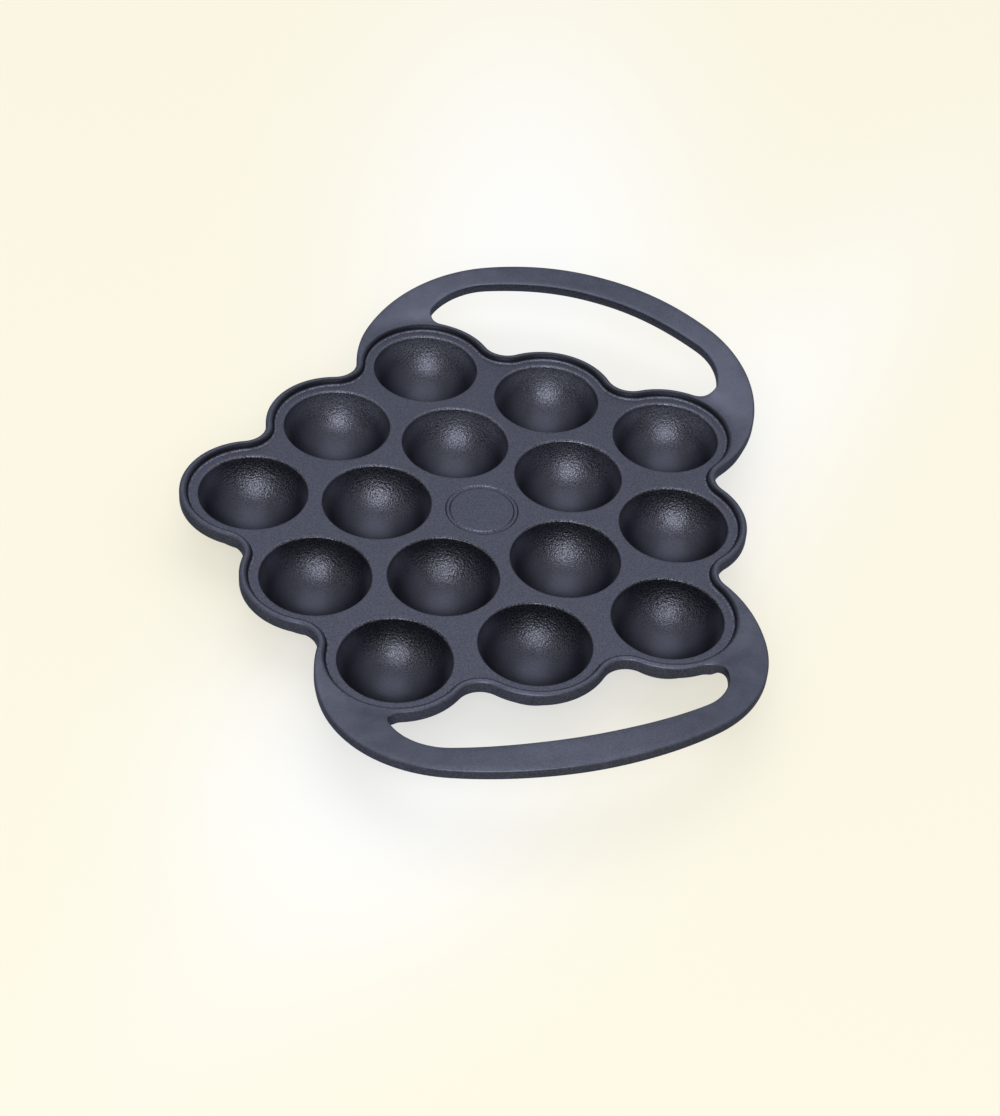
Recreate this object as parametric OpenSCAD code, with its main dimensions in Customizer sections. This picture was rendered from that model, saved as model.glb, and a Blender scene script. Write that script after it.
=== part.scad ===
// Cast iron pan for paniyaram: fifteen round cups in a five-sided pattern inside one
// raised rim, with two bow handles. The whole pan is a single casting.
// The cup pattern is centred on the z axis of the pan's own coordinates, and z = 0 is
// the surface that the cups stand on.

/* [Cups] */
// Diameter of a cup at its mouth
cup_d = 50; // [42:0.5:54]
// Depth of a cup below the plate
cup_depth = 22; // [17:0.5:24]
// Plate left between two neighbouring cups
cup_web = 5.5; // [4:0.5:9]
// Wall thickness round a cup
cup_wall = 3.6; // [2.5:0.1:5]
// Width of the bevel at a cup's mouth
cup_bevel = 0.7; // [0.3:0.1:1.5]
// Diameter of the flat under each cup
foot_d = 12; // [8:0.5:20]

/* [Plate and rim] */
// Thickness of the plate between the cups
plate_t = 3.4; // [2.5:0.1:5]
// Plate between an outer cup and the foot of the rim
plate_band = 4; // [2.5:0.5:7]
// Width of the rim at its foot
rim_w = 4; // [3:0.25:6]
// Height of the rim above the plate
rim_h = 2.8; // [1.5:0.1:5]
// How far the rim's inner wall leans back over its height
rim_lean = 0.9; // [0.3:0.1:1.5]
// Radius along the top edges of the rim
rim_round = 1.3; // [0.4:0.1:1.4]
// How far the rim reaches below the plate's underside
rim_drop = 0.4; // [0.2:0.1:1.5]
// Radius of the hollow between two lobes of the outline
notch_r = 11; // [8:0.5:14]

/* [Medallion] */
// Outer diameter of the ring sunk into the middle of the plate
medal_d = 32.8; // [20:0.2:38]
// Width of that ring
medal_w = 2.2; // [1:0.1:4]
// Depth of that ring below the plate's top
medal_sink = 0.5; // [0.3:0.1:1.5]

/* [Handles] */
// Room for the fingers between the middle lobe and the bar
finger_gap = 34.6; // [28:0.2:45]
// Width of the bar at the middle of a handle
bar_w = 15.4; // [11:0.2:19]
// Thickness of the handle
bar_t = 5.2; // [4:0.1:7]
// Height of the bar's top above the plate
bar_rise = 14.9; // [9:0.1:22]
// Radius of the handle's outer edge along the bar, seen from above
bow_r = 145.5; // [135:0.5:160]
// Radius of the handle's outer edge round its shoulders
shoulder_r = 65.4; // [60:0.1:70]
// Radius of the finger opening's long edge
hole_bow_r = 162.6; // [140:0.2:190]
// Radius of the finger opening's outer corner on the side of the free lobe
hole_tip_corner_r = 29.5; // [20:0.5:34]
// Radius of the finger opening's other outer corner
hole_corner_r = 26; // [18:0.5:30]
// Radius of the finger opening's end beside the rim on the side of the free lobe
hole_tip_end_r = 6; // [3:0.1:8]
// Radius of the finger opening's other end
hole_end_r = 7.4; // [4:0.1:9]
// Width of a handle's arm where it passes the finger opening
arm_w = 23.8; // [20:0.1:27]
// Radius along the edges of the handle
edge_round = 1.1; // [0.5:0.1:1.8]
// How flat the arch of a handle is over its bar
arch_flat = 2.4; // [2:0.1:3]
// How gently the arch runs out towards the rim
arch_tail = 1.6; // [1.2:0.1:2]
// Length over which an arm's top climbs away from the rim
arm_climb = 9; // [6:0.5:14]

/* [Hidden] */
SIDES = 5;
TURN = 360 / SIDES;
HALF = TURN / 2;
iron = [0.2, 0.21, 0.24];
over = 1;
$fn = 96;

// Cups: the hollow is a piece of a sphere that starts at the foot of the bevel, and the
// wall round it is a larger sphere about the same centre
cup_r = cup_d / 2;
throat_r = cup_r - cup_bevel;
throat_depth = cup_depth - cup_bevel;
cup_ball = (throat_r * throat_r + throat_depth * throat_depth) / (2 * throat_depth);
bump_ball = cup_ball + cup_wall;
bump_drop = bump_ball - sqrt(bump_ball * bump_ball - foot_d * foot_d / 4);
plate_z = cup_depth + cup_wall - bump_drop;
ball_z = plate_z - cup_depth + cup_ball;

// Cup pattern: an inner ring, a middle cup on each side and one cup at each corner
pitch = cup_d + cup_web;
inner_ring = pitch / (2 * sin(HALF));
corner_ring = inner_ring + pitch;
side_ring = inner_ring * cos(HALF) + pitch * cos(30);

// Outline: round each outer cup runs a lobe, and a hollow joins it to the next one
lobe_r = cup_r + plate_band + rim_w;
function spot(r, a) = [r * cos(a), r * sin(a)];
function mix(a, b, t) = a + (b - a) * t;
function angle_to(from, to) = atan2(to[1] - from[1], to[0] - from[0]);
function turn_to(a, b) = let (d = (b - a) % 360) d > 180 ? d - 360 : (d < -180 ? d + 360 : d);
function outer_cup(k) = spot(k % 2 == 0 ? corner_ring : side_ring, 180 + HALF * k);
// Centre of the circle on the far side from the middle that touches both given circles,
// where ra and rb are its distances from their centres a and b
function outside(a, b, ra, rb) =
    let (
        d = norm(b - a),
        u = (b - a) / d,
        x = (d * d + ra * ra - rb * rb) / (2 * d),
        y = sqrt(ra * ra - x * x),
        n = [-u[1], u[0]],
        side = n * (a + b) < 0 ? -1 : 1
    ) a + u * x + n * y * side;
function notch(k) = outside(outer_cup(k), outer_cup(k + 1), lobe_r + notch_r, lobe_r + notch_r);

// Arc about a centre, turning from one centre's direction to another's, without its last point
function swing(c, r, from, to, steps) =
    let (a = angle_to(c, from), sweep = turn_to(a, angle_to(c, to)))
    [for (i = [0:steps - 1]) c + spot(r, a + sweep * i / steps)];
// The whole outline moved inwards
function outline(inset, lobe_steps, notch_steps) =
    [for (k = [0:2 * SIDES - 1]) each concat(
        swing(outer_cup(k), lobe_r - inset, notch(k - 1), notch(k), lobe_steps),
        swing(notch(k), notch_r + inset, outer_cup(k), outer_cup(k + 1), notch_steps)
    )];

// Triangles that join rings of m points, in order
function skin(rings, m, closed) =
    [for (i = [0:rings - (closed ? 1 : 2)], j = [0:m - 1])
        let (
            a = i * m + j,
            b = i * m + (j + 1) % m,
            c = (i + 1) % rings * m + (j + 1) % m,
            d = (i + 1) % rings * m + j
        ) each [[a, c, b], [a, d, c]]];

// Section of the rim as [inset from its outer face, height over the plate]. The inner wall
// starts inside the plate and leans back as it rises.
lean_slope = rim_lean / rim_h;
top_round = min(rim_round, (rim_w - rim_lean) / 2 - 0.15, rim_h / 2);
rim_foot = -plate_t - rim_drop;
function bend(x, z, r, from, to, steps) =
    [for (i = [0:steps]) [x, z] + spot(r, mix(from, to, i / steps))];
rim_section = concat(
    bend(top_round, rim_foot + top_round, top_round, 180, 270, 1),
    [[rim_w - rim_drop, rim_foot], [rim_w + lean_slope * plate_t / 2, -plate_t / 2]],
    bend(rim_w - rim_lean - top_round, rim_h - top_round, top_round, 0, 90, 3),
    bend(top_round, rim_h - top_round, top_round, 90, 180, 3)
);

// Handle: u runs out from the pan's middle through the middle of the handle, v across it.
// Each of its halves lies on a side, where 0 is the side of the free lobe.
corner_uv = spot(corner_ring, HALF);
hole_u = side_ring + lobe_r + finger_gap;
bow_uv = [hole_u + bar_w - bow_r, 0];
shoulder_uv = outside(bow_uv, corner_uv, bow_r - shoulder_r, shoulder_r - lobe_r);
arm_v = shoulder_uv[1] + shoulder_r;
hole_v = arm_v - arm_w;
hole_bow_uv = [hole_u - hole_bow_r, 0];
corner_r = [hole_tip_corner_r, hole_corner_r];
end_r = [hole_tip_end_r, hole_end_r];
function leg(c, b) = sqrt(c * c - b * b);
hole_corner_uv = [for (r = corner_r) [hole_bow_uv[0] + leg(hole_bow_r - r, hole_v - r), hole_v - r]];
// The end's arc touches the lobe beside it and runs straight on into the corner's arc
hole_end_uv = [for (i = [0, 1])
    outside(corner_uv, hole_corner_uv[i], lobe_r + end_r[i], corner_r[i] - end_r[i])];

// Directions in which the arcs of the two edges start and end
bow_turn = angle_to(bow_uv, shoulder_uv);
arm_turn = [for (p = hole_end_uv) acos((p[0] - shoulder_uv[0]) / shoulder_r)];
tail_turn = angle_to(shoulder_uv, corner_uv);
hole_turn = [for (p = hole_corner_uv) angle_to(hole_bow_uv, p)];
end_turn = [for (p = hole_end_uv) angle_to(corner_uv, p)];
join_turn = [for (i = [0, 1]) angle_to(hole_corner_uv[i], hole_end_uv[i])];

// Top of the handle over the plate: an arch about a point beside the corner cups, which
// runs out into the rim. At its root it lies just under the rim's top.
arch_u = corner_uv[0] + lobe_r / 2;
root_r = lobe_r - rim_w / 2;
sink = 0.06;
function ease(t) = let (x = min(max(t, 0), 1)) x * x * (3 - 2 * x);
function arch(p) =
    let (
        turn = min(abs(atan2(p[1], p[0] - arch_u)) / 90, 1),
        away = norm([p[0], abs(p[1])] - corner_uv) - root_r,
        low = sink * max(0, 1 - away / (rim_w / 2))
    ) rim_h - low + (bar_rise - rim_h) * pow(1 - pow(turn, arch_flat), arch_tail) * ease(away / arm_climb);

// Stations along half a handle: round the root, round the shoulder and along the bar
ROOT = 8;
SHOULDER = 8;
BAR = 6;
ACROSS = 3;
function outer_edge(i, inset, side) =
    i == 0 ? corner_uv + spot(root_r + rim_w / 4 - inset, tail_turn)
    : i <= ROOT ? shoulder_uv + spot(shoulder_r - inset, mix(tail_turn, arm_turn[side], i / ROOT))
    : i <= ROOT + SHOULDER ? shoulder_uv
        + spot(shoulder_r - inset, mix(arm_turn[side], bow_turn, (i - ROOT) / SHOULDER))
    : bow_uv + spot(bow_r - inset, bow_turn * (1 - (i - ROOT - SHOULDER) / BAR));
function inner_edge(i, inset, side) =
    i == 0 ? corner_uv + spot(root_r + rim_w / 4 - inset, end_turn[side])
    : i <= ROOT ? hole_end_uv[side]
        + spot(end_r[side] + inset, mix(180 + end_turn[side], join_turn[side], i / ROOT))
    : i <= ROOT + SHOULDER ? hole_corner_uv[side]
        + spot(corner_r[side] + inset, mix(join_turn[side], hole_turn[side], (i - ROOT) / SHOULDER))
    : hole_bow_uv + spot(hole_bow_r + inset, hole_turn[side] * (1 - (i - ROOT - SHOULDER) / BAR));
// A point between the two edges. Near the root the stations bend round the lobe.
function between(i, w, side) =
    let (
        straight = mix(outer_edge(i, edge_round, side), inner_edge(i, edge_round, side), w),
        root = mix(outer_edge(0, edge_round, side), inner_edge(0, edge_round, side), w),
        round_lobe = corner_uv
            + spot(root_r + rim_w / 4 - edge_round, mix(tail_turn, end_turn[side], w)),
        bulge = pow(max(0, 1 - i / ROOT), 1.5)
    ) straight + (round_lobe - root) * bulge;
function lifted(p, z) = [p[0], p[1], z];
function edge_drop(a) = edge_round * (1 - cos(a));
function edge_inset(a) = edge_round * (1 - sin(a));
// One ring round the section: across the top, down one edge, back below, up the other edge
function station(i, side) =
    let (
        out_z = arch(between(i, 0, side)),
        in_z = arch(between(i, 1, side))
    ) concat(
        [for (j = [0:ACROSS]) let (p = between(i, j / ACROSS, side)) lifted(p, arch(p))],
        [for (a = [45, 90]) lifted(inner_edge(i, edge_inset(a), side), in_z - edge_drop(a))],
        [for (a = [90, 45]) lifted(inner_edge(i, edge_inset(a), side), in_z - bar_t + edge_drop(a))],
        [for (j = [ACROSS:-1:0]) let (p = between(i, j / ACROSS, side)) lifted(p, arch(p) - bar_t)],
        [for (a = [45, 90]) lifted(outer_edge(i, edge_inset(a), side), out_z - bar_t + edge_drop(a))],
        [for (a = [90, 45]) lifted(outer_edge(i, edge_inset(a), side), out_z - edge_drop(a))]
    );
function mirrored(ring) = [for (p = ring) [p[0], -p[1], p[2]]];

// Place of the pan's middle, so that the origin is below the centre of the whole pan
arm_x = shoulder_uv[0] * cos(TURN) + shoulder_uv[1] * sin(TURN) + shoulder_r;
shift_x = (corner_ring + lobe_r - max(arm_x, side_ring + lobe_r)) / 2;

module rim() {
    rings = [for (p = rim_section) outline(p[0], 12, 4)];
    points = [for (i = [0:len(rings[0]) - 1], j = [0:len(rim_section) - 1])
        lifted(rings[j][i], plate_z + rim_section[j][1])];
    polyhedron(points, skin(len(rings[0]), len(rim_section), true));
}

// The plate's edge runs hidden inside the rim
module plate() {
    translate([0, 0, plate_z - plate_t])
        linear_extrude(plate_t) polygon(outline(rim_w * 0.45, 8, 3));
}

module at_cups() {
    for (i = [0:SIDES - 1]) {
        rotate([0, 0, HALF + TURN * i]) translate([inner_ring, 0, 0]) children();
        rotate([0, 0, HALF + TURN * i]) translate([corner_ring, 0, 0]) children();
        rotate([0, 0, TURN * i]) translate([side_ring, 0, 0]) children();
    }
}

// Outside of one cup below the plate, cut flat where it stands
module cup_bump() {
    intersection() {
        translate([0, 0, ball_z]) sphere(bump_ball);
        cylinder(h = plate_z - plate_t / 2, r = bump_ball + over);
    }
}

// Inside of one cup, with the bevel at its mouth
module cup_hollow() {
    intersection() {
        translate([0, 0, ball_z]) sphere(cup_ball);
        cylinder(h = plate_z - cup_bevel / 2, r = cup_ball + over);
    }
    translate([0, 0, plate_z - cup_bevel])
        cylinder(h = 2 * cup_bevel, r1 = cup_r - cup_bevel, r2 = cup_r + cup_bevel);
}

module medallion_groove() {
    translate([0, 0, plate_z - medal_sink])
        difference() {
            cylinder(h = 2 * medal_sink, d = medal_d);
            translate([0, 0, -over]) cylinder(h = 2 * medal_sink + 2 * over, d = medal_d - 2 * medal_w);
        }
}

// A handle, told which of its two sides comes first round the pan
module handle(first) {
    half = ROOT + SHOULDER + BAR;
    rings = concat(
        [for (i = [0:half]) station(i, first)],
        [for (i = [half - 1:-1:0]) mirrored(station(i, 1 - first))]
    );
    m = len(rings[0]);
    last = m * (len(rings) - 1);
    below = 2 * ACROSS + 5;
    cap = concat(
        [for (j = [0:ACROSS - 1]) each [[j, j + 1, below - j - 1], [j, below - j - 1, below - j]]],
        [for (j = [ACROSS + 1:ACROSS + 4]) [ACROSS, j, j + 1]],
        [for (j = [below:below + 3]) [0, j, j + 1]]
    );
    translate([0, 0, plate_z])
        polyhedron(
            [for (ring = rings) each ring],
            concat(
                skin(len(rings), m, false),
                cap,
                [for (f = cap) [last + f[0], last + f[2], last + f[1]]]
            )
        );
}

module pan() {
    color(iron)
        translate([shift_x, 0, 0])
            difference() {
                union() {
                    plate();
                    rim();
                    at_cups() cup_bump();
                    rotate([0, 0, TURN]) handle(0);
                    rotate([0, 0, -TURN]) handle(1);
                }
                at_cups() cup_hollow();
                medallion_groove();
            }
}

pan();
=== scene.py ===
import math

import bmesh
import bpy
import numpy as np
from mathutils import Matrix, Vector
from mathutils.geometry import delaunay_2d_cdt


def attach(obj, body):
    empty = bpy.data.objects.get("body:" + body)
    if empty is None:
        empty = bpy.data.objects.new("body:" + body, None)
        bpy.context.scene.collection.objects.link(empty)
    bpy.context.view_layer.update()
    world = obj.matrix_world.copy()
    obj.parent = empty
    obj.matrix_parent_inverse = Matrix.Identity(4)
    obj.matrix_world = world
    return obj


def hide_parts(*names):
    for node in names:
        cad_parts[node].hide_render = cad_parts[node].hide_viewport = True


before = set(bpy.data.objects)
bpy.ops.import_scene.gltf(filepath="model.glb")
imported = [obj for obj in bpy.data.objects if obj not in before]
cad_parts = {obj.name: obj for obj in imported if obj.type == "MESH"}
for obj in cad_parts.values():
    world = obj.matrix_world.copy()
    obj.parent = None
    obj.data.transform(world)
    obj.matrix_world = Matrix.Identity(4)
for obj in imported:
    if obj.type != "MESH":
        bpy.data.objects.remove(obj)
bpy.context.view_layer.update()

# A cast iron pan for paniyaram. Its one casting is drawn here with its finish, and it
# replaces the plain node. Lengths are in millimetres until the mesh is made. Heights
# are measured from the plate's top, and in plan the cup pattern's middle is the centre.

MM = 0.001             # metres

# Sizes that the part's source has too
CUP_R = 25.0
CUP_DEPTH = 22.0
CUP_WEB = 5.5
CUP_WALL = 3.6
CUP_BEVEL = 0.7
FOOT_D = 12.0
PLATE_T = 3.4
PLATE_BAND = 4.0
RIM_W = 4.0
RIM_H = 2.8
RIM_DROP = 0.4
NOTCH_R = 11.0
MEDAL_D = 32.8
MEDAL_W = 2.2
MEDAL_SINK = 0.5
FINGER_GAP = 34.6
BAR_W = 15.4
BAR_T = 5.2
BAR_RISE = 14.9
BOW_R = 145.5
SHOULDER_R = 65.4
HOLE_BOW_R = 162.6
HOLE_CORNER_R = (29.5, 26.0)    # on the side of the free lobe, and on the other side
HOLE_END_R = (6.0, 7.4)
ARM_W = 23.8
ARCH_FLAT = 2.4
ARCH_TAIL = 1.6
ARM_CLIMB = 9.0
SIDES = 5
TURN = 360 / SIDES
HALF = TURN / 2

# Sizes of the casting's soft edges
LIP_R = 1.0            # rounding at a cup's mouth
LIP_BACK = 0.6         # how far inside the mouth's edge a cup's ball still is
LIP_FALL = 0.3         # at this depth under the plate
EDGE_R = 1.0           # rounding along the handles and along every lower edge
BEAD_R = 1.55          # rounding over the rim's outer edge
BEAD_FADE = 4          # passes that blend these two roundings where rim and handle meet
ROOT_FILLET = 0.2      # where a cup's outer wall runs into the plate's underside
ROOT_TURN = 15.0       # degrees round a corner lobe over which the rim climbs to an arm
UNDER_CLIMB = 3.5      # length over which the rim's underside climbs to the handle's
# A rounded edge, in shares of its radius: distance inwards from the side, and depth
EDGE_ROUND = [(1, 0.0), (0.617, 0.076), (0.3, 0.293), (0.1, 0.617), (0.035, 1.0)]

# The rim's inner wall: distance inwards from the rim's outer edge, and height
RECESS_WALL = [
    (5.2, 0.0), (4.85, 0.0), (4.58, 0.04), (4.34, 0.14), (4.14, 0.3), (3.98, 0.53), (3.78, 1.0),
    (3.56, 1.5), (3.34, 1.92), (3.06, 2.28), (2.72, 2.56), (2.34, 2.73), (1.95, 2.8), (1.75, 2.8)]
RIM_TOP = 2.0          # rows nearer to the outer edge than this follow the rim's top
# The medallion's sunk ring: distance outwards from the ring's edge, and depth
GROOVE_WALL = [(0.55, 0.0), (0.2, 0.0), (0.06, 0.07), (-0.26, 0.42), (-0.42, 0.49), (-0.6, MEDAL_SINK)]
# The rim's foot under the plate: distance inwards from the outer edge, and height
RIM_FOOT = -PLATE_T - RIM_DROP
FOOT_ROWS = ((3.2, RIM_FOOT), (3.9, -PLATE_T))

# Spacing of the mesh's points
CUP_SIDES = 80
MEDAL_SIDES = 120
MOUTH_R = 26.0         # ring at which a cup joins the plate's own mesh
LOBE_STEP, NOTCH_STEP = 2.3, 1.5
BOW_STEP, SHOULDER_STEP = 3.0, 2.6
CORNER_STEP, END_STEP = 2.0, 0.8
GRID_STEP, GRID_CLEAR, GRID_OFF_RIM = 2.6, 1.1, 0.9
GRID_X, GRID_Y = 150, 175
ROW_LIFT = 0.866       # height of one row of a grid of equal triangles
WELD = 4e-6            # metres within which two points become one


def ball_through(r, depth):
    """Radius of the ball whose cap is depth deep and r in radius."""
    return (r * r + depth * depth) / (2 * depth)


CUP_BALL = ball_through(CUP_R - LIP_BACK, CUP_DEPTH - LIP_FALL)
BALL_UP = CUP_BALL - CUP_DEPTH
WALL_BALL = ball_through(CUP_R - CUP_BEVEL, CUP_DEPTH - CUP_BEVEL) + CUP_WALL
WALL_RISE = WALL_BALL - CUP_WALL - CUP_DEPTH + PLATE_T
FOOT_LIFT = WALL_BALL - math.sqrt(WALL_BALL ** 2 - FOOT_D ** 2 / 4)
PLATE_Z = CUP_DEPTH + CUP_WALL - FOOT_LIFT
WALL_TOP = (WALL_BALL + ROOT_FILLET) * math.sin(math.acos((WALL_RISE + ROOT_FILLET) / (WALL_BALL + ROOT_FILLET)))
PITCH = 2 * CUP_R + CUP_WEB
INNER_RING = PITCH / (2 * math.sin(math.radians(HALF)))
CORNER_RING = INNER_RING + PITCH
SIDE_RING = INNER_RING * math.cos(math.radians(HALF)) + PITCH * math.cos(math.radians(30))
LOBE_R = CUP_R + PLATE_BAND + RIM_W


# Arcs in plan
def spot(r, deg):
    a = math.radians(deg)
    return np.array([r * math.cos(a), r * math.sin(a)])


def angle_to(a, b):
    return math.degrees(math.atan2(b[1] - a[1], b[0] - a[0]))


def turn_to(a, b):
    d = (b - a) % 360
    return d - 360 if d > 180 else d


def touching(a, b, ra, rb):
    """Centre at distances ra and rb from a and b, on the side away from the middle."""
    d = np.linalg.norm(b - a)
    u = (b - a) / d
    x = (d * d + ra * ra - rb * rb) / (2 * d)
    y = math.sqrt(ra * ra - x * x)
    n = np.array([-u[1], u[0]])
    return a + u * x + n * y * (-1 if n @ (a + b) < 0 else 1)


def outer_cup(k):
    return spot(SIDE_RING if k % 2 else CORNER_RING, 180 + HALF * k)


def notch(k):
    return touching(outer_cup(k), outer_cup(k + 1), LOBE_R + NOTCH_R, LOBE_R + NOTCH_R)


def mirror(p):
    return np.array([p[0], -p[1]])


def turning(deg):
    a = math.radians(deg)
    return np.array([[math.cos(a), math.sin(a)], [-math.sin(a), math.cos(a)]])


def circle(sides):
    t = np.arange(sides) * 2 * math.pi / sides
    return np.stack([np.cos(t), np.sin(t)], 1)


# A run is rows of [x, y, nx, ny, on_handle]: points of an edge, each with the direction
# into the metal, and with 1 where the edge belongs to a handle.
def arc_run(c, r, start, sweep, step, solid_inside, on_handle=0.0):
    n = max(3, math.ceil(abs(math.radians(sweep)) * r / step))
    t = np.radians(start + sweep * np.arange(n) / n)
    d = np.stack([np.cos(t), np.sin(t)], 1)
    return np.hstack([c + r * d, -d if solid_inside else d, np.full((n, 1), on_handle)])


def swing(c, r, start_at, end_at, step, solid_inside):
    """Arc about c from the direction of one point to that of another."""
    a = angle_to(c, start_at)
    return arc_run(c, r, a, turn_to(a, angle_to(c, end_at)), step, solid_inside)


def lobe(c, start_at, end_at):
    return swing(c, LOBE_R, start_at, end_at, LOBE_STEP, True)


def hollow(c, start_at, end_at):
    return swing(c, NOTCH_R, start_at, end_at, NOTCH_STEP, False)


def turned(run, deg):
    m = turning(deg)
    return np.hstack([run[:, :2] @ m, run[:, 2:4] @ m, run[:, 4:]])


def inset(run, e):
    """The edge moved into the metal by e."""
    return run[:, :2] + run[:, 2:4] * e


# The handle's own frame: u runs out through its middle, v across it. Pairs are the side
# of the free lobe and the other side.
CORNER = spot(CORNER_RING, HALF)
SIDE = np.array([SIDE_RING, 0.0])
HOLE_U = SIDE_RING + LOBE_R + FINGER_GAP
BOW = np.array([HOLE_U + BAR_W - BOW_R, 0.0])
SHOULDER = touching(BOW, CORNER, BOW_R - SHOULDER_R, SHOULDER_R - LOBE_R)
HOLE_V = SHOULDER[1] + SHOULDER_R - ARM_W
HOLE_BOW = np.array([HOLE_U - HOLE_BOW_R, 0.0])
HOLE_CORNER = [
    np.array([HOLE_BOW[0] + math.sqrt((HOLE_BOW_R - r) ** 2 - (HOLE_V - r) ** 2), HOLE_V - r])
    for r in HOLE_CORNER_R]
HOLE_END = [
    touching(CORNER, p, LOBE_R + end_r, corner_r - end_r)
    for p, corner_r, end_r in zip(HOLE_CORNER, HOLE_CORNER_R, HOLE_END_R)]
BOW_TURN = angle_to(BOW, SHOULDER)
HOLE_TURN = [angle_to(HOLE_BOW, p) for p in HOLE_CORNER]
END_TURN = [angle_to(CORNER, p) for p in HOLE_END]
JOIN_TURN = [angle_to(p, q) for p, q in zip(HOLE_CORNER, HOLE_END)]
SIDE_NOTCH = touching(spot(SIDE_RING, TURN), SHOULDER, LOBE_R + NOTCH_R, SHOULDER_R + NOTCH_R)
MID_NOTCH = touching(CORNER, SIDE, LOBE_R + NOTCH_R, LOBE_R + NOTCH_R)
ARCH_U = CORNER[0] + LOBE_R / 2
ROOT_R = LOBE_R - RIM_W / 2
# On the way round: the lobe before each handle and how far that handle is turned, how
# many lobes a handle hides, and the lobes that make the outer edge themselves
HANDLES = {1: -TURN, 5: TURN}
HANDLE_LOBES = 3
FREE_LOBES = (0, 1, 5, 9)
# The pan's box is centred in x as the source centres it
ARM_X = SHOULDER @ spot(1, TURN) + SHOULDER_R
SHIFT_X = (CORNER_RING + LOBE_R - max(ARM_X, SIDE_RING + LOBE_R)) / 2


def rim_outline():
    """The whole rim's outer edge, as if no handle stood there."""
    runs = []
    for k in range(2 * SIDES):
        runs.append(lobe(outer_cup(k), notch(k - 1), notch(k)))
        runs.append(hollow(notch(k), outer_cup(k), outer_cup(k + 1)))
    return np.vstack(runs)


def handle_outer():
    tail = angle_to(SHOULDER, SIDE_NOTCH)
    return np.vstack([
        arc_run(mirror(SHOULDER), SHOULDER_R, -tail, tail - BOW_TURN, SHOULDER_STEP, True, 1.0),
        arc_run(BOW, BOW_R, -BOW_TURN, 2 * BOW_TURN, BOW_STEP, True, 1.0),
        arc_run(SHOULDER, SHOULDER_R, BOW_TURN, tail - BOW_TURN, SHOULDER_STEP, True, 1.0),
    ])


def silhouette():
    """The pan's whole outer edge, counter-clockwise, with both handles."""
    notches = {k: notch(k) for k in range(-1, 2 * SIDES)}
    for k, deg in HANDLES.items():
        notches[k] = mirror(SIDE_NOTCH) @ turning(deg)
        notches[k + HANDLE_LOBES] = SIDE_NOTCH @ turning(deg)
    runs = []
    for k in FREE_LOBES:
        runs.append(lobe(outer_cup(k), notches[k - 1], notches[k]))
        if k in HANDLES:
            deg, last = HANDLES[k], k + HANDLE_LOBES
            runs.append(hollow(notches[k], outer_cup(k), mirror(SHOULDER) @ turning(deg)))
            runs.append(turned(handle_outer(), deg))
            runs.append(hollow(notches[last], SHOULDER @ turning(deg), outer_cup(last + 1)))
        else:
            runs.append(hollow(notches[k], outer_cup(k), outer_cup(k + 1)))
    return np.vstack(runs)


def finger_opening(up, low):
    """One finger opening's edge in the handle's frame: up and low pick each half's radii from the pairs."""
    corner_r, end_r, turn, end, join = HOLE_CORNER_R, HOLE_END_R, HOLE_TURN, END_TURN, JOIN_TURN
    low_corner, low_end, low_cup, low_notch = map(mirror, (HOLE_CORNER[low], HOLE_END[low], CORNER, MID_NOTCH))
    return np.vstack([
        arc_run(HOLE_BOW, HOLE_BOW_R, turn[up], -turn[up] - turn[low], BOW_STEP, False, 1.0),
        arc_run(low_corner, corner_r[low], -turn[low], turn[low] - join[low], CORNER_STEP, False, 1.0),
        arc_run(low_end, end_r[low], -join[low], join[low] - 180 - end[low], END_STEP, False, 1.0),
        lobe(low_cup, low_end, low_notch),
        hollow(low_notch, low_cup, SIDE),
        lobe(SIDE, low_notch, MID_NOTCH),
        hollow(MID_NOTCH, SIDE, CORNER),
        lobe(CORNER, MID_NOTCH, HOLE_END[up]),
        arc_run(HOLE_END[up], end_r[up], 180 + end[up], join[up] - 180 - end[up], END_STEP, False, 1.0),
        arc_run(HOLE_CORNER[up], corner_r[up], join[up], turn[up] - join[up], CORNER_STEP, False, 1.0),
    ])


# Heights over the plate
def grows(value, start, full):
    """From 0 where value is start to 1 where it is full, leaving and arriving softly."""
    t = np.clip((value - start) / (full - start), 0, 1)
    return t * t * (3 - 2 * t)


def top_height(xy, on_handle):
    """Top of the rim, and of the handle where it arches away from the rim."""
    out, across = spot(1, TURN), spot(1, TURN + 90)
    folded = np.column_stack([xy[:, 0], np.abs(xy[:, 1])])
    u, v = folded @ out, np.abs(folded @ across)
    turn = np.clip(np.abs(np.degrees(np.arctan2(v, u - ARCH_U))) / 90, 0, 1)
    away = np.hypot(u - CORNER[0], v - CORNER[1])
    arch = (BAR_RISE - RIM_H) * (1 - turn ** ARCH_FLAT) ** ARCH_TAIL
    lift = arch * grows(away, ROOT_R, ROOT_R + ARM_CLIMB)
    round_lobe = np.degrees(np.arctan2(v - CORNER[1], u - CORNER[0]))
    near_root = grows(round_lobe, END_TURN[0] - ROOT_TURN, END_TURN[0]) * (away < LOBE_R + 0.5)
    return RIM_H + lift * np.where(on_handle > 0.5, 1, near_root), away


def under_height(xy, on_handle):
    """Underside of the rim, which runs up into the underside of the handle."""
    top, away = top_height(xy, on_handle)
    share = grows(away, LOBE_R, LOBE_R + UNDER_CLIMB) * (on_handle > 0.5)
    return RIM_FOOT + (top - BAR_T - RIM_FOOT) * share


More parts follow.
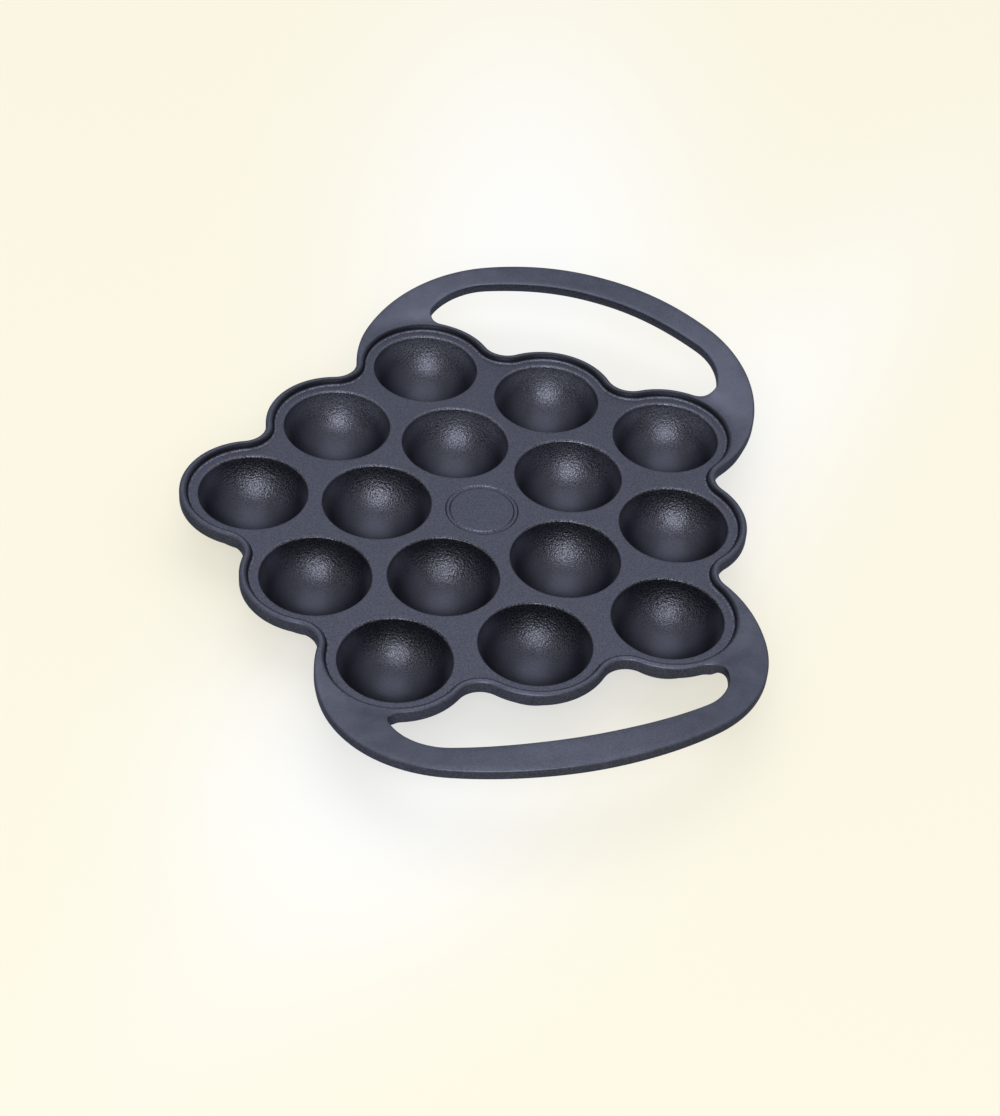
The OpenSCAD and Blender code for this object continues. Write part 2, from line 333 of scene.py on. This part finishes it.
def inside(spots, loop, batch=4000):
    """Which spots lie inside a closed line, told by how often a ray to +x crosses it."""
    a, b = loop, np.roll(loop, -1, axis=0)
    dy = b[:, 1] - a[:, 1]
    dy = np.where(np.abs(dy) < 1e-12, 1e-12, dy)
    found = np.zeros(len(spots), bool)
    for first in range(0, len(spots), batch):
        px, py = spots[first:first + batch, :1], spots[first:first + batch, 1:]
        spans = (a[:, 1] > py) != (b[:, 1] > py)
        cross = a[:, 0] + (py - a[:, 1]) * (b[:, 0] - a[:, 0]) / dy
        found[first:first + batch] = (np.sum(spans & (px < cross), axis=1) % 2) == 1
    return found


# The casting's mesh, collected as points and faces
points, faces = [], []


def add_points(xyz):
    first = sum(len(p) for p in points)
    points.append(np.asarray(xyz, float))
    return np.arange(first, first + len(xyz))


def add_loop(xy, z):
    return add_points(np.column_stack([xy, np.broadcast_to(z, len(xy))]))


def join_rows(rows):
    """Four-sided faces between each closed row and the next."""
    for a, b in zip(rows, rows[1:]):
        n = len(a)
        faces.extend((a[i], a[(i + 1) % n], b[(i + 1) % n], b[i]) for i in range(n))


def fill_between(loops, loose, keep):
    """Triangles over the area between closed loops and through loose points."""
    ids = np.concatenate([*loops, loose]) if len(loose) else np.concatenate(loops)
    xy = np.vstack(points)[ids][:, :2]
    edges, first = [], 0
    for loop in loops:
        n = len(loop)
        edges += [(first + i, first + (i + 1) % n) for i in range(n)]
        first += n
    verts, _, tris, came_from, _, _ = delaunay_2d_cdt(
        [Vector(p) for p in xy.tolist()], edges, [], 0, 1e-6, True)
    middles = np.array([[sum(verts[i][axis] for i in t) / 3 for axis in (0, 1)] for t in tris])
    for t, good in zip(tris, keep(middles)):
        if good:
            faces.append(tuple(ids[came_from[i][0]] for i in t))


CUPS = np.array([
    spot(r, start + TURN * i)
    for r, start in ((INNER_RING, 180.0), (CORNER_RING, 180.0), (SIDE_RING, 144.0))
    for i in range(SIDES)])
CUP_RING = circle(CUP_SIDES)


def clear_of_cups(p, r):
    gap = np.linalg.norm(p[:, None, :] - CUPS[None], axis=2).min(axis=1)
    return gap > r * math.cos(math.pi / CUP_SIDES) - 0.01


def rounding(run):
    """Rounding over the top edge: wide round the rim, narrower along a handle."""
    share = run[:, 4]
    for _ in range(BEAD_FADE):
        share = (np.roll(share, 1) + share + np.roll(share, -1)) / 3
    return (BEAD_R + (EDGE_R - BEAD_R) * share)[:, None]


def in_metal(p, outer, holes):
    good = inside(p, outer)
    for loop in holes:
        good &= ~inside(p, loop)
    return good


def add_recess(rim):
    """The rim's inner wall, from the plate over a small hollow to the rim's top."""
    rows = []
    for e, z in RECESS_WALL:
        xy = inset(rim, e)
        extra = top_height(xy, np.zeros(len(rim)))[0] - RIM_H if e < RIM_TOP else 0.0
        rows.append(add_loop(xy, z + extra))
    join_rows(rows)
    return rows[0], rows[-1]


def add_medallion():
    """A plain sunk ring round a bare disc."""
    out_r, in_r = MEDAL_D / 2, MEDAL_D / 2 - MEDAL_W
    section = [(out_r + e, -z) for e, z in GROOVE_WALL] + [(in_r - e, -z) for e, z in reversed(GROOVE_WALL)]
    rows = [add_loop(circle(MEDAL_SIDES) * r, z) for r, z in section]
    join_rows(rows)
    middle = add_points([[0, 0, 0]])[0]
    disc = rows[-1]
    faces.extend((disc[i], disc[(i + 1) % MEDAL_SIDES], middle) for i in range(MEDAL_SIDES))
    return rows[0], section[0][0]


def add_plate(rim, plate_edge, medal_edge, medal_r):
    """The plate between the cups. Slivers inside the medallion's own chords are left out."""
    mouths = [add_loop(c + CUP_RING * MOUTH_R, 0.0) for c in CUPS]
    plate_loop = inset(rim, RECESS_WALL[0][0])
    chord = 0.9994

    def on_plate(p):
        off_medal = np.hypot(p[:, 0], p[:, 1]) > medal_r * chord
        return inside(p, plate_loop) & clear_of_cups(p, MOUTH_R) & off_medal

    fill_between([plate_edge, medal_edge, *mouths], [], on_plate)


def add_rim_and_handles():
    rim, edge = rim_outline(), silhouette()
    openings = [turned(finger_opening(1, 0), -TURN), turned(finger_opening(0, 1), TURN)]
    runs = (edge, *openings)
    plate_edge, rim_top = add_recess(rim)
    add_plate(rim, plate_edge, *add_medallion())

    # Outer edge and finger openings, rounded above and below
    top_loops, low_loops = [], []
    top_edge, *top_holes = [inset(run, rounding(run)) for run in runs]
    low_edge, *low_holes = [inset(run, EDGE_R) for run in runs]
    for run, at_top, at_low in zip(runs, (top_edge, *top_holes), (low_edge, *low_holes)):
        top = top_height(at_top, run[:, 4])[0]
        low = under_height(at_low, run[:, 4])
        r = rounding(run)
        rows = [add_loop(inset(run, r * e), top - r[:, 0] * z) for e, z in EDGE_ROUND]
        rows += [add_loop(inset(run, EDGE_R * e), low + EDGE_R * z) for e, z in reversed(EDGE_ROUND)]
        join_rows(rows)
        top_loops.append(rows[0])
        low_loops.append(rows[-1])

    # Loose points that carry the arch over the handles' tops and undersides
    gx, gy = np.meshgrid(np.arange(-GRID_X, GRID_X, GRID_STEP), np.arange(-GRID_Y, GRID_Y, GRID_STEP * ROW_LIFT))
    gx = gx + (np.arange(gx.shape[0]) % 2)[:, None] * GRID_STEP / 2
    grid = np.stack([gx.ravel(), gy.ravel()], 1)
    clear = EDGE_R + GRID_CLEAR
    around = [inset(rim, -GRID_OFF_RIM), *(inset(run, clear) for run in openings)]
    grid = grid[in_metal(grid, inset(edge, clear), around)]
    on_handle = np.ones(len(grid))
    grid_top = add_points(np.column_stack([grid, top_height(grid, on_handle)[0]]))
    grid_low = add_points(np.column_stack([grid, under_height(grid, on_handle)]))

    rim_loop = inset(rim, RECESS_WALL[-1][0])
    fill_between([rim_top, *top_loops], grid_top, lambda p: in_metal(p, top_edge, [*top_holes, rim_loop]))

    # Underside: the rim's foot, the plate, and the rings where the cups' outer walls start
    foot = [add_loop(inset(rim, e), z) for e, z in FOOT_ROWS]
    collars = [add_loop(c + CUP_RING * WALL_TOP, -PLATE_T) for c in CUPS]
    fill_between([*low_loops, *foot, *collars], grid_low,
                 lambda p: in_metal(p, low_edge, low_holes) & clear_of_cups(p, WALL_TOP))


# Node trees, for shaders and geometry alike
class Value:
    """A socket whose operators add Math nodes."""

    def __init__(self, tree, socket):
        self.tree, self.socket = tree, socket

    def __add__(self, o): return self.tree.math("ADD", self, o)
    def __radd__(self, o): return self.tree.math("ADD", o, self)
    def __sub__(self, o): return self.tree.math("SUBTRACT", self, o)
    def __rsub__(self, o): return self.tree.math("SUBTRACT", o, self)
    def __mul__(self, o): return self.tree.math("MULTIPLY", self, o)
    def __rmul__(self, o): return self.tree.math("MULTIPLY", o, self)
    def __truediv__(self, o): return self.tree.math("DIVIDE", self, o)
    def __rtruediv__(self, o): return self.tree.math("DIVIDE", o, self)
    def __neg__(self): return self.tree.math("MULTIPLY", self, -1)
    def clamped(self): return self.tree.math("MAXIMUM", self.tree.math("MINIMUM", self, 1), 0)


class Tree:
    """Adds nodes to a tree: settings first, then the values or links of the inputs."""

    def __init__(self, tree):
        self.tree = tree

    def put(self, kind, settings=None, inputs=None, out=0):
        node = self.tree.nodes.new(kind)
        for name, setting in (settings or {}).items():
            setattr(node, name, setting)
        for name, value in (inputs or {}).items():
            self.feed(node.inputs[name], value)
        self.last = node
        return Value(self, node.outputs[out]) if len(node.outputs) else node

    def feed(self, socket, value):
        if isinstance(value, Value):
            self.tree.links.new(value.socket, socket)
        else:
            socket.default_value = value

    def math(self, operation, *args):
        return self.put("ShaderNodeMath", {"operation": operation}, dict(enumerate(args)))


def new_material(name):
    mat = bpy.data.materials.new(name)
    mat.use_nodes = True
    mat.node_tree.nodes.clear()
    return mat, Tree(mat.node_tree)


# One cup, its bowl and its outer wall, is revolved and set at every place of the pattern
BOWL_ROWS, BOWL_LIP_ROWS = 20, 5
WALL_ROWS, WALL_FILLET_ROWS = 14, 3


def cup_shell(g, ball, rise, fillet, start, rows, fillet_rows, plane, flat_to=None, pole=0):
    """A cap of a ball that a fillet bends level at its top, and that then runs on level to
    flat_to. pole adds one row that closes the cap with a flat."""
    total = rows + fillet_rows + (1 if flat_to else 0) + pole
    grid = g.put("GeometryNodeMeshGrid", inputs={
        "Size X": 1, "Size Y": 1, "Vertices X": CUP_SIDES + 1, "Vertices Y": total + 1})
    g.put("ShaderNodeSeparateXYZ", inputs={0: g.put("GeometryNodeInputPosition")})
    x, y = Value(g, g.last.outputs[0]), Value(g, g.last.outputs[1])
    around = (x + 0.5) * (2 * math.pi)
    step = g.math("ROUND", (y + 0.5) * total)
    along = g.math("MAXIMUM", step - pole, 0)
    lip_angle = g.math("ARCCOSINE", (rise + fillet) / (ball + fillet))
    phi = start + (lip_angle - start) * (g.math("MINIMUM", along, rows) / rows)
    bent = lip_angle - lip_angle * ((along - rows) / fillet_rows).clamped()
    radius = ball * g.math("SINE", phi) + fillet * (g.math("SINE", lip_angle) - g.math("SINE", bent))
    if flat_to:
        radius = radius + (flat_to - radius) * (along - (rows + fillet_rows)).clamped()
    if pole:
        radius = radius * g.math("MINIMUM", step, 1)
    height = (plane + rise - ball * g.math("COSINE", phi)
              + fillet * (g.math("COSINE", bent) - g.math("COSINE", lip_angle)))
    place = g.put("ShaderNodeCombineXYZ", inputs={
        0: radius * g.math("COSINE", around), 1: radius * g.math("SINE", around), 2: height})
    return g.put("GeometryNodeSetPosition", inputs={"Geometry": grid, "Position": place})


def cup_places(g, pitch, shift):
    """Five cups round the middle, one at each corner and one at the middle of each side."""
    index = g.put("GeometryNodeInputIndex")
    ring = g.math("FLOOR", index / SIDES)
    inner = pitch / (2 * math.sin(math.radians(HALF)))
    on_inner, on_corner, on_side = (g.math("COMPARE", ring, k, 0.1) for k in range(3))
    side = inner * math.cos(math.radians(HALF)) + pitch * math.cos(math.radians(30))
    out = on_inner * inner + on_corner * (inner + pitch) + on_side * side
    angle = math.pi - on_side * math.radians(HALF) + (index - ring * SIDES) * math.radians(TURN)
    place = g.put("ShaderNodeCombineXYZ", inputs={
        0: shift + out * g.math("COSINE", angle), 1: out * g.math("SINE", angle), 2: 0.0})
    return g.put("GeometryNodePoints", inputs={"Count": len(CUPS), "Position": place})


def cups_mesh(iron):
    tree = bpy.data.node_groups.new("cup_pattern", "GeometryNodeTree")
    face = tree.interface
    face.new_socket("Geometry", in_out="OUTPUT", socket_type="NodeSocketGeometry")
    sizes = {"Cup ball": CUP_BALL, "Cup ball rise": BALL_UP, "Lip radius": LIP_R, "Mouth ring": MOUTH_R,
             "Wall ball": WALL_BALL, "Wall ball rise": WALL_RISE, "Root fillet": ROOT_FILLET,
             "Foot radius": FOOT_D / 2, "Plate": PLATE_T, "Plate height": PLATE_Z, "Pitch": PITCH,
             "Shift": SHIFT_X}
    for name, value in sizes.items():
        socket = face.new_socket(name, in_out="INPUT", socket_type="NodeSocketFloat")
        socket.default_value = value * MM
    face.new_socket("Iron", in_out="INPUT", socket_type="NodeSocketMaterial")
    g = Tree(tree)
    g.put("NodeGroupInput")
    given = {s.name: Value(g, s) for s in g.last.outputs if s.name}

    bowl = cup_shell(g, given["Cup ball"], given["Cup ball rise"], given["Lip radius"], 0.0,
                     BOWL_ROWS, BOWL_LIP_ROWS, given["Plate height"], flat_to=given["Mouth ring"])
    foot_angle = g.math("ARCSINE", given["Foot radius"] / given["Wall ball"])
    wall = cup_shell(g, given["Wall ball"], given["Wall ball rise"], given["Root fillet"], foot_angle,
                     WALL_ROWS, WALL_FILLET_ROWS, given["Plate height"] - given["Plate"], pole=1)
    cup = g.put("GeometryNodeJoinGeometry")
    for part in (bowl, wall):
        g.feed(cup.socket.node.inputs[0], part)
    cup = g.put("GeometryNodeMergeByDistance", inputs={"Geometry": cup, "Distance": WELD / 2})
    spots = cup_places(g, given["Pitch"], given["Shift"])
    placed = g.put("GeometryNodeInstanceOnPoints", inputs={"Points": spots, "Instance": cup})
    real = g.put("GeometryNodeRealizeInstances", inputs={"Geometry": placed})
    done = g.put("GeometryNodeSetMaterial", inputs={"Geometry": real, "Material": given["Iron"]})
    g.put("NodeGroupOutput", inputs={0: done})

    holder = bpy.data.objects.new("cups", bpy.data.meshes.new("cups"))
    bpy.context.scene.collection.objects.link(holder)
    mod = holder.modifiers.new("cups", "NODES")
    mod.node_group = tree
    ids = {s.name: s.identifier for s in face.items_tree if s.in_out == "INPUT"}
    mod[ids["Iron"]] = iron
    for name, value in sizes.items():
        mod[ids[name]] = value * MM
    holder.update_tag()
    bpy.context.view_layer.update()
    mesh = bpy.data.meshes.new_from_object(holder.evaluated_get(bpy.context.evaluated_depsgraph_get()))
    holder.modifiers.remove(mod)
    bpy.data.objects.remove(holder)
    bpy.data.node_groups.remove(tree)
    return mesh


# The finish: blue-grey seasoned iron with a fine cast skin, and grainy far walls in the cups
IRON_COLOUR = (0.0585, 0.063, 0.089, 1)
IRON_SHINE = (0.37, 0.39, 0.46, 1)
SKIN_MM, GRIT_MM, GRAIN_MM = 0.8, 0.55, 0.95
MOTTLE_MM, PATCH_MM = 10.0, 45.0
GRAIN_LEVEL = 0.4      # Voronoi distance that counts as the level between grains and gaps
DARKEST = 0.15         # no speck is darker than this share of the iron's colour
# Per-point marks. Besides the bowl and its sand grain, they carry painted shade on upright walls and in corners,
# painted glints, painted light and shade in the cups, and a lighter tone on raised tops
MARKS = ("bowl", "grain_and_highlight", "raised_top", "steep_shade", "shaded", "painted_glint", "lip_light_and_shade")


def seasoned_iron():
    mat, s = new_material("seasoned_iron")
    here = s.put("ShaderNodeTexCoord", out=3)
    bowl, grain_and_highlight, raised_top, steep_shade, shaded, painted_glint, lip_light_and_shade = (
        s.put("ShaderNodeAttribute", {"attribute_name": mark}, out="Fac") for mark in MARKS)

    def noise(size_mm, detail, rough):
        return s.put("ShaderNodeTexNoise", inputs={
            "Vector": here, "Scale": 1 / (size_mm * MM), "Detail": detail, "Roughness": rough}) - 0.5

    skin = noise(SKIN_MM, 2.0, 0.65)
    grit = noise(GRIT_MM, 2.0, 0.6)
    mottle = noise(MOTTLE_MM, 3.0, 0.55)
    patch = noise(PATCH_MM, 1.0, 0.5)
    grains = GRAIN_LEVEL - s.put("ShaderNodeTexVoronoi", {"feature": "SMOOTH_F1"}, {
        "Vector": here, "Scale": 1 / (GRAIN_MM * MM), "Smoothness": 0.3, "Randomness": 1.0})

    # Colour: cloudy and speckled, lighter on raised tops that face up, darker in the bowls, painted shade on upright
    # walls, and a painted highlight where the sand grain runs up the far walls
    tone = (1 + mottle * 0.22 + skin * (1.5 - raised_top * 0.5 - bowl * 1.1)
            + raised_top * (0.13 + mottle * 0.3) - steep_shade * 0.2 - bowl * 0.35 + grain_and_highlight * 0.17)
    # Specks: sand grain up the cups' far walls, and painted glints along the recess's foot, the cups' lips and the
    # ring's front walls
    specks = s.math("MAXIMUM", 1 + (grain_and_highlight * 4.5 + painted_glint * 6) * grit + painted_glint * 0.4, DARKEST)
    # Painted shade in the recess and the sunk ring, and painted light and shade in the cups
    tone = tone * specks * (1 - shaded * 0.8) * (1 + lip_light_and_shade)
    # Where the sand grain runs up the far walls the colour is a little less blue, as part of the painted highlight
    # there
    warmed = s.put("ShaderNodeCombineColor", inputs={
        0: tone * (1 + grain_and_highlight * 0.03), 1: tone, 2: tone * (1 - grain_and_highlight * 0.1)})
    colour = s.put("ShaderNodeMix", {"data_type": "RGBA", "blend_type": "MULTIPLY"},
                   {0: 1.0, 6: IRON_COLOUR, 7: warmed}, out=2)

    # Relief in millimetres: skin and clouds outside the bowls, grit and grains inside
    relief = ((1 - bowl) * (skin * 0.045 + mottle * 0.03)
              + grain_and_highlight * (1 + patch * 1.2) * (grit * 0.09 + grains * 0.13))
    bump = s.put("ShaderNodeBump", inputs={"Strength": 1.0, "Distance": MM, "Height": relief})
    rough = 0.47 + mottle * 0.12 - steep_shade * 0.05 - bowl * 0.07 - grain_and_highlight * 0.08 - raised_top * 0.03
    # Metallic is lower where the cups get painted light under the lip, so they render lighter there
    iron = s.put("ShaderNodeBsdfPrincipled", inputs={
        "Base Color": colour, "Roughness": rough, "Metallic": 0.9 - s.math("MAXIMUM", lip_light_and_shade, 0) * 0.35,
        "Specular Tint": IRON_SHINE, "Normal": bump})
    s.put("ShaderNodeOutputMaterial", inputs={"Surface": iron})
    return mat


def cast_marks(co, up):
    """How much of each mark every point of the casting has. far and near say on which side
    of the pan a cup is, and beyond how far past that cup's middle, towards +y, a point is."""
    x, y, z = co.T
    plan = co[:, :2]
    gaps = np.linalg.norm(plan[:, None] - CUPS[None], axis=2)
    gap, cup = gaps.min(axis=1), CUPS[gaps.argmin(axis=1)]
    in_bowl = (gap < CUP_R + 0.2) & (np.hypot(gap, z - BALL_UP) < CUP_BALL + CUP_WALL / 2)
    beyond = grows(y - cup[:, 1] + 0.15 * (x - cup[:, 0]), 6, 20)
    far, near = grows(cup[:, 1], 5, 60), grows(-cup[:, 1], 5, 60)
    rim = rim_outline()

    # Bowls: smooth at the bottom, with sand grain up the far wall that also carries a painted highlight. Painted
    # light lies in a band under each lip (on the far wall only in the far cups), and painted shade on the far walls
    # of the near cups
    bowl = np.where(in_bowl, np.clip(0.75 - z / 0.6, 0, 1), 0)
    grain_and_highlight = bowl * (0.04 + 0.96 * beyond) * (1 - 0.25 * far)
    under_lip = grows(z, -12, -4) * (1 - 0.6 * grows(z, -1.6, -0.4))
    lip_light_and_shade = in_bowl * (under_lip * (far * beyond + 0.8 * (1 - beyond)) - 0.22 * near * beyond)

    # Rim and handles: lighter on raised tops that face up, and painted shade on upright walls
    on_rim = inside(plan, rim)
    raised_top = grows(z, 1.2, 2.6) * grows(up[:, 2], 0.3, 0.8)
    raised_top = raised_top * np.where(on_rim, 0.7, 1.9 - 0.9 * grows(z, 6, 14))
    steep_shade = (1 - grows(np.abs(up[:, 2]), 0.3, 0.8)) * ~in_bowl

    # Recess and medallion: painted shade on the rim's inner wall and in the sunk ring, and painted glints along the
    # recess's foot, round the cups' lips and on the ring's walls that face -y
    in_front = np.clip(-up[:, 1] * 1.8, 0, 1)
    out = np.hypot(x, y) - MEDAL_D / 2
    groove_wall = np.minimum(np.abs(out + 0.2), np.abs(out + MEDAL_W - 0.2))
    groove = np.clip(1.3 - groove_wall / 0.3, 0, 1) * (z > -1) * (out < 1)
    recess = inside(plan, inset(rim, 2.2)) & ~in_bowl
    foot = inside(plan, inset(rim, 3.95)) & (z > 0.02) & (z < 0.4)
    lip = in_bowl & (z > -0.62) & (z < -0.01)
    shaded = np.maximum(1.15 * groove * (1 - in_front), recess * (0.35 + 0.65 * in_front) * grows(z, 0.3, 0.8))
    painted_glint = np.maximum(np.maximum(foot, lip * 0.4), 1.5 * groove * in_front)
    return dict(zip(MARKS, (bowl, grain_and_highlight, raised_top, steep_shade, shaded, painted_glint, lip_light_and_shade)))


def read_points(mesh, name):
    values = np.empty(len(mesh.vertices) * 3)
    mesh.vertices.foreach_get(name, values)
    return values.reshape(-1, 3)


def make_pan():
    iron = seasoned_iron()
    add_rim_and_handles()
    centre = np.array([SHIFT_X, 0, PLATE_Z])
    xyz = (np.vstack(points) + centre) * MM
    mesh = bpy.data.meshes.new("pan_casting")
    mesh.from_pydata(xyz.tolist(), [], [tuple(int(i) for i in f) for f in faces])
    cups = cups_mesh(iron)
    bm = bmesh.new()
    bm.from_mesh(mesh)
    bm.from_mesh(cups)
    bmesh.ops.remove_doubles(bm, verts=bm.verts, dist=WELD)
    bmesh.ops.recalc_face_normals(bm, faces=bm.faces)
    for f in bm.faces:
        f.smooth = True
        f.material_index = 0
    bm.to_mesh(mesh)
    bm.free()
    bpy.data.meshes.remove(cups)
    for name, values in cast_marks(read_points(mesh, "co") / MM - centre, read_points(mesh, "normal")).items():
        mesh.attributes.new(name, "FLOAT", "POINT").data.foreach_set("value", values.astype(np.float32))
    mesh.materials.clear()
    mesh.materials.append(iron)
    pan = bpy.data.objects.new("pan_casting", mesh)
    bpy.context.scene.collection.objects.link(pan)
    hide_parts("pan")
    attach(pan, "root")


# Floor, world, light and camera, in metres
FLOOR_R, FLOOR_SIDES, FLOOR_DROP = 4.0, 96, 0.0002
FLOOR_CREAM = (0.973, 0.93, 0.775, 1)
LIGHT_POOL_TINT = (0.99, 0.99, 0.975, 1)
# Painted pools of light, paler patches on the cream floor: middle, half length and width, and turn
LIGHT_POOLS = (
    (0.071, 0.012, 0.054, 0.282, -0.522),
    (0.023, 0.217, 0.094, 0.253, 0.039),
    (-0.035, -0.138, 0.074, 0.083, 0.0))
CONTACT_REACH, CONTACT_SHADE = 0.05, 0.17
FLOOR_GLOW = 0.76      # share of the floor that shows its own colour without light or shadow


def seen_directly(s):
    s.put("ShaderNodeLightPath")
    path = s.last.outputs
    total = Value(s, path["Is Camera Ray"]) + Value(s, path["Is Glossy Ray"]) + Value(s, path["Is Transmission Ray"])
    return total.clamped()


def make_floor():
    mat, s = new_material("pale_floor")
    s.put("ShaderNodeSeparateXYZ", inputs={0: s.put("ShaderNodeTexCoord", out=3)})
    x, y = Value(s, s.last.outputs[0]), Value(s, s.last.outputs[1])
    cream = 1.0
    # The floor is paler where the painted pools of light lie
    for cx, cy, length, width, turn in LIGHT_POOLS:
        c, n = math.cos(turn), math.sin(turn)
        along = ((x - cx) * c + (y - cy) * n) / length
        across = ((y - cy) * c - (x - cx) * n) / width
        cream = cream * (1 - s.math("EXPONENT", -(along * along + across * across)))
    tint = s.put("ShaderNodeMix", {"data_type": "RGBA"}, {0: cream, 6: LIGHT_POOL_TINT, 7: FLOOR_CREAM}, out=2)
    open_sky = s.put("ShaderNodeAmbientOcclusion", {"samples": 8}, {"Distance": CONTACT_REACH}, out="AO")
    lit = s.put("ShaderNodeBsdfDiffuse", inputs={"Color": tint})
    glow = s.put("ShaderNodeEmission", inputs={"Color": tint, "Strength": 1 - (1 - open_sky) * CONTACT_SHADE})
    both = s.put("ShaderNodeMixShader", inputs={0: seen_directly(s) * FLOOR_GLOW, 1: lit, 2: glow})
    s.put("ShaderNodeOutputMaterial", inputs={"Surface": both})
    bm = bmesh.new()
    bmesh.ops.create_circle(bm, cap_ends=True, cap_tris=False, segments=FLOOR_SIDES, radius=FLOOR_R)
    mesh = bpy.data.meshes.new("floor")
    bm.to_mesh(mesh)
    bm.free()
    mesh.materials.append(mat)
    floor = bpy.data.objects.new("floor", mesh)
    floor.location = (0, 0, -FLOOR_DROP)
    bpy.context.scene.collection.objects.link(floor)


def make_world():
    world = bpy.data.worlds.new("studio")
    bpy.context.scene.world = world
    world.use_nodes = True
    world.node_tree.nodes.clear()
    s = Tree(world.node_tree)
    light = s.put("ShaderNodeBackground", inputs={"Color": (0.97, 0.98, 1.0, 1), "Strength": 0.4})
    shown = s.put("ShaderNodeBackground", inputs={"Color": (1.0, 0.985, 0.95, 1), "Strength": 1.0})
    both = s.put("ShaderNodeMixShader", inputs={0: seen_directly(s), 1: light, 2: shown})
    s.put("ShaderNodeOutputWorld", inputs={"Surface": both})


def softbox(name, place, aim, size, watts):
    data = bpy.data.lights.new(name, "AREA")
    data.shape = "RECTANGLE"
    data.size, data.size_y = size
    data.energy = watts
    lamp = bpy.data.objects.new(name, data)
    lamp.location = place
    lamp.rotation_euler = (Vector(aim) - Vector(place)).to_track_quat("-Z", "Y").to_euler()
    bpy.context.scene.collection.objects.link(lamp)


# The camera, worked out from the fifteen cup mouths of a picture 1116 pixels high
AZIMUTH, ELEVATION, ROLL = math.radians(1.0753), math.radians(43.0248), math.radians(5.131)
EYE = (-4.8517, -791.948, 710.41)    # millimetres from the plate's middle
FOCAL_PIXELS, PICTURE_PIXELS, SENSOR = 2372.41, 1116, 36.0


def make_camera():
    ahead = Vector((math.cos(ELEVATION) * math.sin(AZIMUTH), math.cos(ELEVATION) * math.cos(AZIMUTH),
                    -math.sin(ELEVATION)))
    level = Vector((math.cos(AZIMUTH), -math.sin(AZIMUTH), 0))
    upright = level.cross(ahead)
    right = level * math.cos(ROLL) + upright * math.sin(ROLL)
    up = upright * math.cos(ROLL) - level * math.sin(ROLL)
    eye = (Vector(EYE) + Vector((SHIFT_X, 0, PLATE_Z))) * MM
    data = bpy.data.cameras.new("camera")
    data.sensor_fit = "AUTO"
    data.sensor_width = SENSOR
    data.lens = FOCAL_PIXELS * SENSOR / PICTURE_PIXELS
    data.clip_start, data.clip_end = 0.01, 50
    cam = bpy.data.objects.new("camera", data)
    cam.matrix_world = Matrix((
        (right.x, up.x, -ahead.x, eye.x),
        (right.y, up.y, -ahead.y, eye.y),
        (right.z, up.z, -ahead.z, eye.z),
        (0, 0, 0, 1),
    ))
    bpy.context.scene.collection.objects.link(cam)
    bpy.context.scene.camera = cam


make_pan()
make_floor()
make_world()
softbox("key", place=(-0.07, -2.27, 1.97), aim=(0, 0, 0.02), size=(1.95, 1.6), watts=60.0)
softbox("top", place=(0.0, 0.9, 2.9), aim=(0, 0, 0.02), size=(2.6, 2.6), watts=30.0)
make_camera()
bpy.context.scene.view_settings.view_transform = "Standard"
